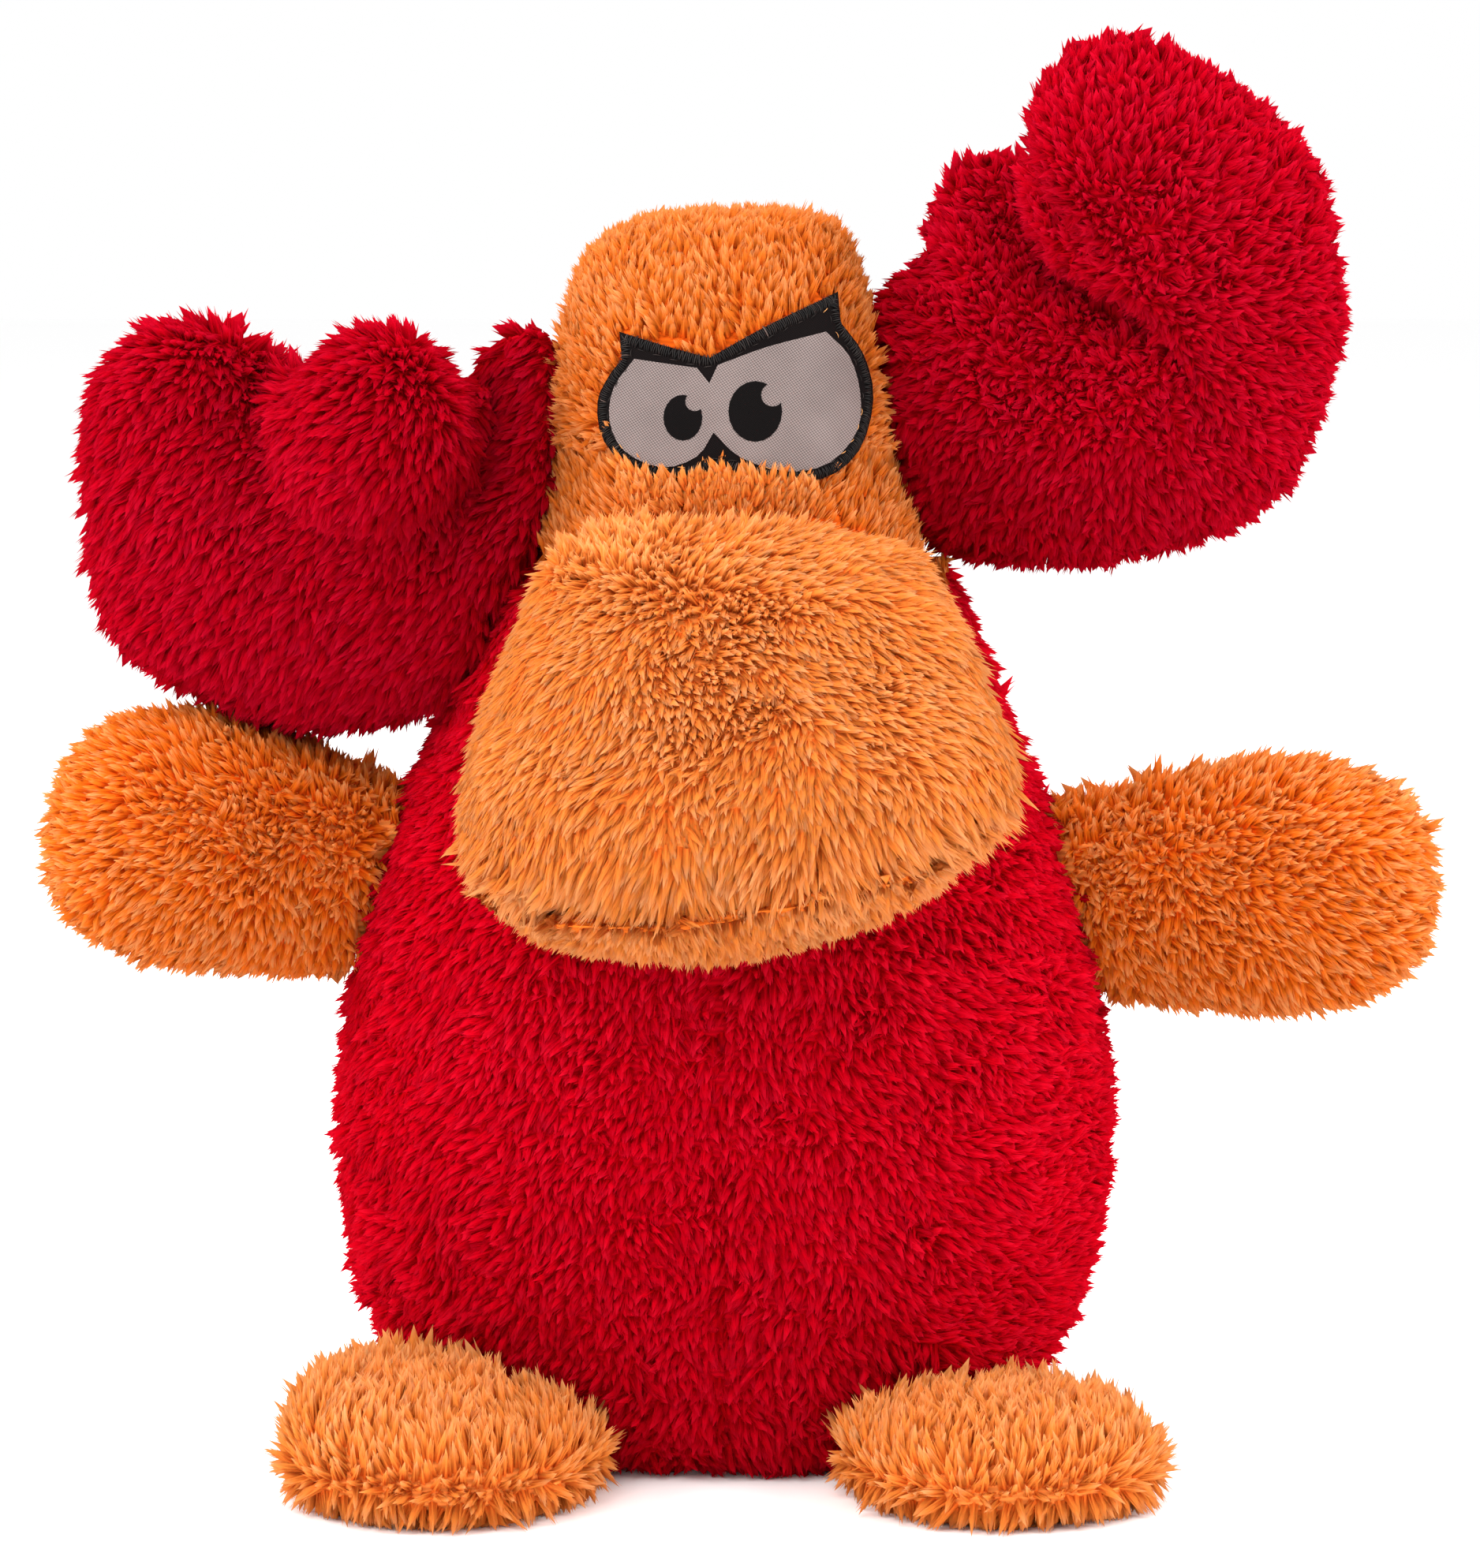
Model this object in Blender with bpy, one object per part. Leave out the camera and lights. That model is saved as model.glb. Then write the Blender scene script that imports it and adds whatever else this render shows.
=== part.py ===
"""Plush moose dog toy, which stands on its base and two feet and faces -Y.

Each stuffed bag of pile fabric is one solid, because a bag is closed before it is sewn to the next one.
The solids follow the pile a little under its tips. A narrow gap stays where one bag is seated on another.
Left and right are the toy's own. Sizes are in metres, the floor is at z = 0, and the base is centred on it.
"""

import math

import bmesh
import bpy
from mathutils import Matrix, Vector

# Clearance between two sewn pieces, and how far a piece reaches into its carrier before it is cut to fit.
seam_gap = 0.0003
seat_depth = 0.016

# Torso: a pear that is widest at the belly.
belly_height = 0.060
belly_half_width = 0.0765
belly_half_depth = 0.061
base_half_width = 0.050
base_half_depth = 0.044
neck_height = 0.166
neck_half_width = 0.048
neck_half_depth = 0.043
torso_crown = 0.019

# Head: a tall loaf on the neck.
head_height = 0.077
cheek_half_width = 0.0415
cheek_half_depth = 0.041
brow_half_width = 0.0325
brow_half_depth = 0.0375
crown_half_width = 0.0260
crown_half_depth = 0.028
head_forward = 0.005
head_lean = 0.002

# Muzzle: the snout, which hangs from below the eyes to the chest. Its mouth climbs to the toy's left.
muzzle_height = 0.0745
muzzle_half_width = 0.0525
muzzle_top_half_width = 0.029
muzzle_reach = 0.058
muzzle_stand_off = 0.004
muzzle_rise = 0.020
muzzle_side = 0.003
mouth_slope = 0.13

# Lower jaw: the lip that shows as a crescent under the mouth.
jaw_half_width = 0.0510
jaw_drop = 0.0050
jaw_setback = 0.0020

# Arms: flat mittens, widest near the hand.
right_arm_length = 0.0675
left_arm_length = 0.0725
arm_root_half_height = 0.0195
hand_half_height = 0.0257
arm_flatness = 0.70
shoulder_sink = 0.002
right_arm_height = 0.111
left_arm_height = 0.108
right_arm_lift = math.radians(14.0)
left_arm_lift = math.radians(3.0)
right_arm_forward = math.radians(14.0)
left_arm_forward = math.radians(6.0)

# Feet: oval pads with a seam round the edge. The right one stands higher on its outer side.
foot_half_width = 0.0305
foot_half_length = 0.033
right_foot_height = 0.0235
left_foot_height = 0.0200
right_foot_slope = 0.16
left_foot_slope = 0.0
foot_seam_pinch = 0.0012
foot_spread = 0.0525
foot_advance = 0.016
foot_turn = math.radians(22.0)

# Antlers: a dished palm with three stuffed lobes, each reaching one span out from the side of the head.
right_antler_span = 0.090
left_antler_span = 0.092
antler_root_height = 0.026
antler_thickness_share = 0.62
antler_cell = 0.0052
antler_smoothing = 10

# Woven eye patch on the front of the head. Its outlines are in shares of its half width.
patch_half_width = 0.0264
patch_thickness = 0.0008
weave_thickness = 0.0005
patch_height = 0.040
patch_side = 0.0025

# Colours as linear RGB.
red_pile = (0.55, 0.004, 0.018, 1.0)
orange_pile = (0.93, 0.26, 0.045, 1.0)
black_weave = (0.010, 0.010, 0.012, 1.0)
grey_weave = (0.46, 0.43, 0.44, 1.0)

# How finely the bags are faceted.
bag_sides = 28
limb_sides = 24
stretch_steps = 2


def clear_scene():
    for thing in list(bpy.data.objects):
        bpy.data.objects.remove(thing)


def fabric(name, colour, roughness):
    """A cloth material with the given colour."""
    made = bpy.data.materials.new(name)
    made.use_nodes = True
    shader = made.node_tree.nodes["Principled BSDF"]
    shader.inputs["Base Color"].default_value = colour
    shader.inputs["Roughness"].default_value = roughness
    shader.inputs["Metallic"].default_value = 0.0
    made.diffuse_color = colour
    return made


def between(low, high, share):
    return low + (high - low) * share


def smooth_through(rows, steps):
    """Rows of numbers on a smooth curve through the given rows, with some steps to each stretch."""
    padded = [
        [2 * a - b for a, b in zip(rows[0], rows[1])],
        *rows,
        [2 * a - b for a, b in zip(rows[-1], rows[-2])],
    ]
    made = []
    for i in range(len(rows) - 1):
        before, start, end, after = padded[i : i + 4]
        for step in range(steps):
            t = step / steps
            made.append(
                [
                    0.5
                    * (
                        2 * q
                        + (r - p) * t
                        + (2 * p - 5 * q + 4 * r - s) * t * t
                        + (3 * q - p - 3 * r + s) * t * t * t
                    )
                    for p, q, r, s in zip(before, start, end, after)
                ]
            )
    made.append(list(rows[-1]))
    return made


def superellipse(angle, half_width, half_depth, squareness):
    """A point on a rounded section, which is an ellipse at squareness 2 and boxier above it."""
    power = 2.0 / squareness
    across, along = math.cos(angle), math.sin(angle)
    return (
        math.copysign(abs(across) ** power, across) * half_width,
        math.copysign(abs(along) ** power, along) * half_depth,
    )


def link(name, mesh, material):
    """A smooth-shaded object of the mesh, with its material."""
    mesh.shade_smooth()
    mesh.materials.append(material)
    made = bpy.data.objects.new(name, mesh)
    bpy.context.scene.collection.objects.link(made)
    return made


def mesh_from(work, name):
    """The finished mesh of a bmesh, with its faces turned outwards."""
    bmesh.ops.recalc_face_normals(work, faces=work.faces)
    mesh = bpy.data.meshes.new(name)
    work.to_mesh(mesh)
    work.free()
    return mesh


def stuffed_bag(name, rows, material, squareness=2.2, count=bag_sides):
    """A closed bag along rows: height, half width, half depth, sideways, back, slope. It ends in a pole."""
    work = bmesh.new()
    rings = []
    for height, half_width, half_depth, side, back, slope in smooth_through(rows, stretch_steps)[:-1]:
        ring = []
        for step in range(count):
            x, y = superellipse(2 * math.pi * step / count, half_width, half_depth, squareness)
            ring.append(work.verts.new((side + x, back + y, height + slope * x)))
        rings.append(ring)
    for lower, upper in zip(rings, rings[1:]):
        for i in range(count):
            j = (i + 1) % count
            work.faces.new((lower[i], lower[j], upper[j], upper[i]))
    height, _, _, side, back, _ = rows[-1]
    pole = work.verts.new((side, back, height))
    for i in range(count):
        work.faces.new((rings[-1][i], rings[-1][(i + 1) % count], pole))
    work.faces.new(list(reversed(rings[0])))
    return link(name, mesh_from(work, name), material)


def as_guide(thing):
    """Marks a cutter or other helper, which isn't part of the toy."""
    thing.hide_render = True
    thing.display_type = "WIRE"
    return thing


def grown(source, amount):
    """A helper with the bag's whole shape, uncut by its own carriers and grown outwards all round."""
    bpy.context.view_layer.update()
    made = bpy.data.objects.new(f"{source.name}.grown.{amount:.4f}", source.data)
    bpy.context.scene.collection.objects.link(made)
    made.matrix_world = source.matrix_world
    swell = made.modifiers.new("swell", "DISPLACE")
    swell.strength = amount
    swell.mid_level = 0.0
    return as_guide(made)


def boolean(thing, other, operation):
    change = thing.modifiers.new(other.name, "BOOLEAN")
    change.object = other
    change.operation = operation
    change.solver = "EXACT"
    return thing


def seat_on(thing, *carriers):
    """Cuts the thing so that it lies against each carrier with the seam gap between them."""
    for carrier in carriers:
        boolean(thing, grown(carrier, seam_gap), "DIFFERENCE")
    return thing


def half_width_at(rows, height):
    """The half width of a bag at a height, from its smooth rows."""
    curve = smooth_through(rows, 8)
    for low, high in zip(curve, curve[1:]):
        if low[0] <= height <= high[0]:
            share = (height - low[0]) / (high[0] - low[0])
            return between(low[1], high[1], share)
    return curve[0][1]


def torso_rows():
    """The pear from its flat base to the crown that is buried in the head."""

    def lower(height_share, share):
        half_width = between(base_half_width, belly_half_width, share)
        half_depth = between(base_half_depth, belly_half_depth, share)
        return [height_share * belly_height, half_width, half_depth, 0.0, 0.0, 0.0]

    def upper(height_share, share):
        height = between(belly_height, neck_height, height_share)
        half_width = between(belly_half_width, neck_half_width, share)
        half_depth = between(belly_half_depth, neck_half_depth, share)
        return [height, half_width, half_depth, 0.0, 0.0, 0.0]

    def crown(height_share, share):
        height = neck_height + height_share * torso_crown
        return [height, share * neck_half_width, share * neck_half_depth, 0.0, 0.0, 0.0]

    return [
        lower(0.0, 0.0),
        lower(0.07, 0.22),
        lower(0.22, 0.50),
        lower(0.55, 0.85),
        lower(1.0, 1.0),
        upper(0.30, 0.10),
        upper(0.55, 0.34),
        upper(0.80, 0.74),
        upper(1.0, 1.0),
        crown(0.62, 0.80),
        crown(0.92, 0.42),
        crown(1.0, 0.0),
    ]


def head_rows():
    """The loaf of the head, from inside the neck to the crown."""

    def row(height_share, half_width, half_depth, lean=0.0):
        return [neck_height + height_share * head_height, half_width, half_depth, lean, -head_forward, 0.0]

    temple_half_width = between(cheek_half_width, brow_half_width, 0.70)
    upper_half_width = between(brow_half_width, crown_half_width, 0.34)
    return [
        row(-0.13, cheek_half_width, cheek_half_depth, head_lean),
        row(0.08, cheek_half_width, cheek_half_depth, head_lean),
        row(0.28, temple_half_width, cheek_half_depth, 0.5 * head_lean),
        row(0.54, brow_half_width, brow_half_depth),
        row(0.74, upper_half_width, 0.93 * brow_half_depth, -0.5 * head_lean),
        row(0.89, crown_half_width, crown_half_depth),
        row(0.975, 0.70 * crown_half_width, 0.66 * crown_half_depth, head_lean),
        row(1.0, 0.0, 0.0, head_lean),
    ]


def snout_row(height, half_width, front, slope):
    """A section that is buried in the chest behind and reaches the given distance in front."""
    return [height, half_width, (front + seat_depth) / 2, 0.0, (seat_depth - front) / 2, slope]


def muzzle_rows():
    """The snout in its own frame: height from its lowest point, and depth from the front of the chest."""
    wide, reach, high, top = muzzle_half_width, muzzle_reach, muzzle_height, muzzle_top_half_width
    return [
        snout_row(0.0, 0.25 * wide, 0.52 * reach, mouth_slope),
        snout_row(0.05 * high, 0.54 * wide, 0.78 * reach, mouth_slope),
        snout_row(0.16 * high, 0.86 * wide, 0.95 * reach, mouth_slope),
        snout_row(0.32 * high, wide, reach, 0.6 * mouth_slope),
        snout_row(0.50 * high, 0.95 * wide, 0.93 * reach, 0.3 * mouth_slope),
        snout_row(0.66 * high, 0.86 * wide, 0.80 * reach, 0.0),
        snout_row(0.81 * high, between(top, wide, 0.50), 0.62 * reach, 0.0),
        snout_row(0.93 * high, between(top, wide, 0.24), 0.40 * reach, 0.0),
        snout_row(0.99 * high, 0.60 * top, 0.22 * reach, 0.0),
        [high, 0.0, 0.0, 0.0, 0.0, 0.0],
    ]


def jaw_rows():
    """The lower lip, a shallow bowl that follows the bottom of the snout."""
    wide, reach, high = jaw_half_width, muzzle_reach - jaw_setback, muzzle_height
    return [
        snout_row(0.0, 0.25 * wide, 0.52 * reach, mouth_slope),
        snout_row(0.05 * high, 0.54 * wide, 0.78 * reach, mouth_slope),
        snout_row(0.16 * high, 0.86 * wide, 0.95 * reach, mouth_slope),
        snout_row(0.32 * high, 0.92 * wide, 0.92 * reach, 0.6 * mouth_slope),
        [0.45 * high, 0.0, 0.0, 0.0, -0.4 * reach, 0.0],
    ]


def arm_rows(length):
    """The mitten along its own length, from inside the torso to the tip."""
    root, hand = arm_root_half_height, hand_half_height

    def row(distance, half_height):
        return [distance, half_height, arm_flatness * half_height, 0.0, 0.0, 0.0]

    return [
        row(-seat_depth, root),
        row(0.05 * length, 1.02 * root),
        row(0.32 * length, between(root, hand, 0.66)),
        row(0.56 * length, hand),
        row(0.78 * length, 0.93 * hand),
        row(0.92 * length, 0.70 * hand),
        row(0.985 * length, 0.34 * hand),
        row(length, 0.0),
    ]


def foot_rows(height, slope):
    """The oval pad, from its flat sole past the pinched seam to a top that may slope across."""

    def row(share, size, pinch=0.0):
        half_width = size * foot_half_width - pinch
        return [share * height, half_width, size * foot_half_length - pinch, 0.0, 0.0, share * slope]

    return [
        row(0.0, 0.80),
        row(0.10, 0.91),
        row(0.30, 1.0),
        row(0.44, 0.995, foot_seam_pinch),
        row(0.58, 0.985),
        row(0.80, 0.84),
        row(0.95, 0.50),
        row(1.0, 0.0),
    ]


def finger(work, start, end):
    """The hull of two balls, flattened front to back. Each end is (place, radius)."""
    part = bmesh.new()
    for place, radius in (start, end):
        ball = Matrix.Translation(place) @ Matrix.Diagonal((1.0, antler_thickness_share, 1.0, 1.0))
        bmesh.ops.create_icosphere(part, subdivisions=3, radius=radius, matrix=ball)
    hull = bmesh.ops.convex_hull(part, input=part.verts)
    loose = {v for v in hull["geom_interior"] + hull["geom_unused"] if isinstance(v, bmesh.types.BMVert)}
    bmesh.ops.delete(part, geom=list(loose), context="VERTS")
    piece = bpy.data.meshes.new("finger")
    part.to_mesh(piece)
    part.free()
    work.from_mesh(piece)
    bpy.data.meshes.remove(piece)


def build_antler(name, side, span, chains, material):
    """One stuffed skin over chains of balls. A ball is (out, forward, up, radius) in spans from the root."""
    root = Vector((side * (cheek_half_width - seat_depth), -head_forward, neck_height + antler_root_height))
    work = bmesh.new()
    for chain in chains:
        balls = [
            (root + span * Vector((side * out, -forward, up)), span * radius)
            for out, forward, up, radius in chain
        ]
        for start, end in zip(balls, balls[1:]):
            finger(work, start, end)
    made = link(name, mesh_from(work, name), material)
    skin = made.modifiers.new("one skin", "REMESH")
    skin.mode = "VOXEL"
    skin.voxel_size = antler_cell
    skin.use_smooth_shade = True
    soften = made.modifiers.new("soften", "SMOOTH")
    soften.factor = 0.5
    soften.iterations = antler_smoothing
    return made


def build_right_antler(material):
    """Lies level. Its middle lobe is folded forward over the palm."""
    root = (0.0, 0.02, -0.02, 0.20)
    palm = (0.60, 0.02, -0.25, 0.31)
    heel = (0.28, 0.04, -0.28, 0.21)
    outer = [palm, (0.80, 0.06, -0.18, 0.285), (0.865, 0.08, 0.10, 0.24)]
    middle = [(0.50, 0.05, -0.05, 0.22), (0.455, 0.30, 0.115, 0.19), (0.455, 0.24, 0.17, 0.17)]
    inner = [(0.24, 0.02, -0.10, 0.19), (0.115, 0.02, 0.25, 0.11)]
    chains = [[root, heel, palm], outer, middle, inner]
    return build_antler("right_antler", -1, right_antler_span, chains, material)


def build_left_antler(material):
    """Is raised. Its outer lobe runs round the palm as a thick rim and curls forward at the top."""
    root = (0.0, 0.04, 0.06, 0.20)
    palm = (0.58, 0.00, 0.26, 0.36)
    rim = [
        (0.30, 0.06, 0.00, 0.205),
        (0.52, 0.12, 0.02, 0.215),
        (0.73, 0.16, 0.11, 0.235),
        (0.80, 0.18, 0.33, 0.235),
        (0.75, 0.22, 0.55, 0.25),
        (0.555, 0.28, 0.725, 0.215),
    ]
    middle = [(0.40, 0.00, 0.20, 0.26), (0.30, 0.02, 0.53, 0.175)]
    inner = [(0.20, 0.02, 0.10, 0.19), (0.11, 0.02, 0.31, 0.12)]
    return build_antler("left_antler", 1, left_antler_span, [[root, palm], rim, middle, inner], material)


def patch_centre():
    """Where the patch is centred, seen from the front as (x, z)."""
    return Vector((patch_side, neck_height + patch_height))


def patch_outline(points):
    """A closed outline, given in the patch's half widths. It curves through the points that aren't sharp."""
    start = next(i for i, point in enumerate(points) if len(point) > 2)
    turned = points[start:] + points[: start + 1]
    made, run = [], []
    for point in turned:
        run.append(patch_centre() + patch_half_width * Vector(point[:2]))
        if len(point) > 2 and len(run) > 1:
            made += smooth_through(run, 3)[:-1]
            run = [run[-1]]
    return made


def patch_oval(middle, half_width, half_height, count=20):
    """An oval in the patch's half widths."""
    turns = [2 * math.pi * i / count for i in range(count)]
    offsets = [Vector((half_width * math.cos(turn), half_height * math.sin(turn))) for turn in turns]
    return [patch_centre() + patch_half_width * (Vector(middle) + offset) for offset in offsets]


def prism(name, flat_outline, material):
    """The outline, drawn out along Y from inside the head to well in front of it."""
    back = -head_forward
    front = back - cheek_half_depth - seat_depth
    work = bmesh.new()
    face = work.faces.new([work.verts.new((x, front, z)) for x, z in flat_outline])
    extruded = bmesh.ops.extrude_face_region(work, geom=[face])
    moved = [v for v in extruded["geom"] if isinstance(v, bmesh.types.BMVert)]
    bmesh.ops.translate(work, verts=moved, vec=(0.0, back - front, 0.0))
    return link(name, mesh_from(work, name), material)


def applied_to_head(name, flat_outline, head, lift, thickness, material):
    """A thin woven piece with the outline, curved to the front of the head at a lift above its surface."""
    made = prism(name, flat_outline, material)
    boolean(made, grown(head, lift + thickness), "INTERSECT")
    boolean(made, grown(head, lift), "DIFFERENCE")
    return made


def build_eye_patch(head, material):
    """The black ground with its two slanting brows. Its bottom edge is under the pile."""
    sharp = True
    ground = [
        (-0.84, 0.56, sharp),
        (-0.49, 0.46),
        (-0.19, 0.38, sharp),
        (0.23, 0.61),
        (0.74, 0.84, sharp),
        (0.76, 0.62, sharp),
        (0.93, 0.38),
        (1.00, 0.06),
        (0.89, -0.30),
        (0.61, -0.49),
        (0.19, -0.48),
        (-0.13, -0.40, sharp),
        (-0.38, -0.48),
        (-0.70, -0.45),
        (-0.95, -0.23),
        (-1.00, 0.05),
        (-0.91, 0.25),
        (-0.82, 0.36, sharp),
    ]
    return applied_to_head("eye_patch", patch_outline(ground), head, seam_gap, patch_thickness, material)


def build_eye_whites(head, material):
    """Both pale eyes, woven as one field that is pinched between them. The toy's left one is larger."""
    sharp = True
    field = [
        (-0.19, 0.20, sharp),
        (-0.28, 0.31, sharp),
        (-0.73, 0.37, sharp),
        (-0.88, 0.16),
        (-0.91, -0.08),
        (-0.80, -0.29),
        (-0.53, -0.40),
        (-0.28, -0.32),
        (-0.16, -0.15, sharp),
        (0.04, -0.33),
        (0.38, -0.43),
        (0.68, -0.37),
        (0.88, -0.15),
        (0.90, 0.12),
        (0.82, 0.38),
        (0.65, 0.56, sharp),
        (0.23, 0.46),
        (-0.13, 0.33, sharp),
    ]
    lift = seam_gap + patch_thickness + seam_gap
    return applied_to_head("eye_whites", patch_outline(field), head, lift, weave_thickness, material)


def build_pupil(name, middle, half_width, half_height, glint, glint_radius, head, material):
    """A dark oval with a round bite at its upper outer edge, where the pale weave shows as a glint."""
    lift = seam_gap + patch_thickness + seam_gap + weave_thickness + seam_gap
    oval = patch_oval(middle, half_width, half_height)
    made = applied_to_head(name, oval, head, lift, weave_thickness, material)
    cutter = prism(f"{name}.glint", patch_oval(glint, glint_radius, glint_radius), material)
    return boolean(made, as_guide(cutter), "DIFFERENCE")


def build_torso(material):
    return stuffed_bag("torso", torso_rows(), material)


def build_head(torso, material):
    head = stuffed_bag("head", head_rows(), material, squareness=2.5)
    return seat_on(head, torso)


def build_muzzle(torso, head, material):
    """The snout, sewn to the front of the chest and of the head."""
    chest = -(neck_half_depth + muzzle_stand_off)
    muzzle = stuffed_bag("muzzle", muzzle_rows(), material, squareness=2.25)
    muzzle.location = (muzzle_side, chest, neck_height + muzzle_rise - muzzle_height)
    return seat_on(muzzle, torso, head)


def build_lower_jaw(torso, head, muzzle, material):
    jaw = stuffed_bag("lower_jaw", jaw_rows(), material)
    jaw.location = muzzle.location - Vector((0.0, 0.0, jaw_drop))
    return seat_on(jaw, torso, head, muzzle)


def build_arm(name, side, length, height, lift, forward, torso, material):
    """Side is 1 for the toy's left and -1 for its right."""
    arm = stuffed_bag(name, arm_rows(length), material, squareness=2.1, count=limb_sides)
    shoulder = half_width_at(torso_rows(), height) - shoulder_sink
    along = Vector((side * math.cos(lift), -math.sin(forward), math.sin(lift))).normalized()
    up = Vector((0.0, 0.0, 1.0))
    tall = (up - up.dot(along) * along).normalized()
    frame = Matrix((tall, along.cross(tall), along)).transposed().to_4x4()
    arm.matrix_world = Matrix.Translation((side * shoulder, 0.0, height)) @ frame
    return seat_on(arm, torso)


def build_foot(name, side, height, slope, torso, material):
    foot = stuffed_bag(name, foot_rows(height, side * slope), material, count=limb_sides)
    foot.location = (side * foot_spread, -(base_half_depth + foot_advance), 0.0)
    foot.rotation_euler = (0.0, 0.0, side * foot_turn)
    return seat_on(foot, torso)


def build_toy():
    clear_scene()
    red = fabric("red pile", red_pile, 0.95)
    orange = fabric("orange pile", orange_pile, 0.95)
    black = fabric("black weave", black_weave, 0.7)
    grey = fabric("grey satin weave", grey_weave, 0.45)
    torso = build_torso(red)
    head = build_head(torso, orange)
    muzzle = build_muzzle(torso, head, orange)
    build_lower_jaw(torso, head, muzzle, orange)
    right_arm = build_arm(
        "right_arm", -1, right_arm_length, right_arm_height, right_arm_lift, right_arm_forward, torso, orange
    )
    build_arm(
        "left_arm", 1, left_arm_length, left_arm_height, left_arm_lift, left_arm_forward, torso, orange
    )
    build_foot("right_foot", -1, right_foot_height, right_foot_slope, torso, orange)
    build_foot("left_foot", 1, left_foot_height, left_foot_slope, torso, orange)
    seat_on(build_right_antler(red), torso, head, muzzle, right_arm)
    seat_on(build_left_antler(red), torso, head, muzzle)
    build_eye_patch(head, black)
    build_eye_whites(head, grey)
    build_pupil("right_pupil", (-0.38, -0.045), 0.140, 0.163, (-0.295, 0.070), 0.068, head, black)
    build_pupil("left_pupil", (0.14, 0.000), 0.193, 0.216, (0.265, 0.117), 0.083, head, black)


build_toy()
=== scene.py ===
import math

import bmesh
import bpy
import numpy as np
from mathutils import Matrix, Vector
from mathutils.bvhtree import BVHTree


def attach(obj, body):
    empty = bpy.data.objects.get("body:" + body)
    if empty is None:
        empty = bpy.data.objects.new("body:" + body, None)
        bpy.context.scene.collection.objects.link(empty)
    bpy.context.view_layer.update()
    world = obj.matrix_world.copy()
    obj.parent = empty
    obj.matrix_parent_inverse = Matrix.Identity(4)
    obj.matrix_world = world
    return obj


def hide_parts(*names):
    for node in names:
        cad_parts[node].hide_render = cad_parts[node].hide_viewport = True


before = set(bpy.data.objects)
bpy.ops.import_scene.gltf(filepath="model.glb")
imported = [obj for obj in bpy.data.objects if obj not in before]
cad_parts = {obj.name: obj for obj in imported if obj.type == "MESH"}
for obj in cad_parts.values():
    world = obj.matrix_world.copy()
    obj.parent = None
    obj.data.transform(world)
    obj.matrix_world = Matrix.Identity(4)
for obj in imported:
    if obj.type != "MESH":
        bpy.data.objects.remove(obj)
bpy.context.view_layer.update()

# Camera
# It stands 1.2 m in front of the toy and looks down at it by 6.5 degrees, through a long lens.
# Its screen holds the whole toy from the soles to the tip of the raised antler.
camera = bpy.data.objects.new("camera", bpy.data.cameras.new("camera"))
camera.location = (0.0033, -1.1923, 0.2658)
camera.rotation_euler = (math.radians(83.5), 0.0, 0.0)
camera.data.sensor_width = 36.0
camera.data.lens = 139.1
bpy.context.collection.objects.link(camera)
bpy.context.scene.camera = camera
bpy.context.scene.view_settings.view_transform = "Standard"

# Floor and light
# A smooth white paper sweep under soft boxes. One box is high at the front, a faint one is behind the
# camera, one is at each side and one above, and a white room is round it all.
floor_half = 6.0
floor_colour = (0.98, 0.98, 0.98)
room_strength = 1.0
lit_height = 0.13
boxes = [
    ("front box", (-0.45, -1.30, 1.40), 1.3, 19.0),
    ("camera box", (0.15, -2.00, 0.45), 1.0, 4.0),
    ("right box", (1.35, -0.45, 0.75), 1.2, 21.0),
    ("left box", (-1.35, -0.45, 0.75), 1.2, 21.0),
    ("top box", (0.1, 0.25, 1.45), 1.2, 12.0),
]

sweep = bpy.data.meshes.new("floor")
corners = [(x * floor_half, y * floor_half, 0.0) for x, y in ((-1, -1), (1, -1), (1, 1), (-1, 1))]
sweep.from_pydata(corners, [], [(0, 1, 2, 3)])
floor = bpy.data.objects.new("floor", sweep)
bpy.context.collection.objects.link(floor)
white = bpy.data.materials.new("white sweep")
white.use_nodes = True
paint = white.node_tree.nodes["Principled BSDF"]
paint.inputs["Base Color"].default_value = (*floor_colour, 1.0)
paint.inputs["Roughness"].default_value = 0.9
paint.inputs["Specular IOR Level"].default_value = 0.1
sweep.materials.append(white)

world = bpy.data.worlds.new("white room")
world.use_nodes = True
bpy.context.scene.world = world
room = world.node_tree
seen = room.nodes.new("ShaderNodeLightPath").outputs["Is Camera Ray"]
lit = room.nodes["Background"]
lit.inputs["Color"].default_value = (1.0, 1.0, 1.0, 1.0)
lit.inputs["Strength"].default_value = room_strength
backdrop = room.nodes.new("ShaderNodeBackground")
backdrop.inputs["Color"].default_value = (1.0, 1.0, 1.0, 1.0)
either = room.nodes.new("ShaderNodeMixShader")
room.links.new(seen, either.inputs[0])
room.links.new(lit.outputs[0], either.inputs[1])
room.links.new(backdrop.outputs[0], either.inputs[2])
room.links.new(either.outputs[0], room.nodes["World Output"].inputs["Surface"])

for name, place, width, power in boxes:
    lamp = bpy.data.objects.new(name, bpy.data.lights.new(name, "AREA"))
    lamp.data.shape = "DISK"
    lamp.data.size = width
    lamp.data.energy = power
    lamp.location = place
    aim = Vector((0.0, 0.0, lit_height)) - Vector(place)
    lamp.rotation_euler = aim.to_track_quat("-Z", "Y").to_euler()
    bpy.context.collection.objects.link(lamp)

# Torso
# A pear-shaped bag of red long-pile fabric, stuffed tight with loose fibre filling and sewn shut. Its pile
# stands in soft locks about 4 mm long that lie downwards and out to the sides.
torso_sunk = 0.0014
# The root colour of each pile palette is painted shade among the locks, and its pale tip colour is a painted
# highlight.
torso_red = {"shaded_root": (0.47, 0.0, 0.004), "middle": (0.66, 0.0, 0.013), "pale": (0.88, 0.008, 0.042)}
torso_lock = {
    "length": 0.0038, "width": 0.0021, "spacing": 0.00138, "rise": 0.60, "rows": 2.2, "scatter": 0.22,
    "swirl": 1.2, "whorl": 75.0,
}
torso_cell = 0.0042
# Darker than the red pile: painted shade for the backing seen between the locks.
red_ground_shaded = (0.50, 0.0, 0.008)


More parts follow.
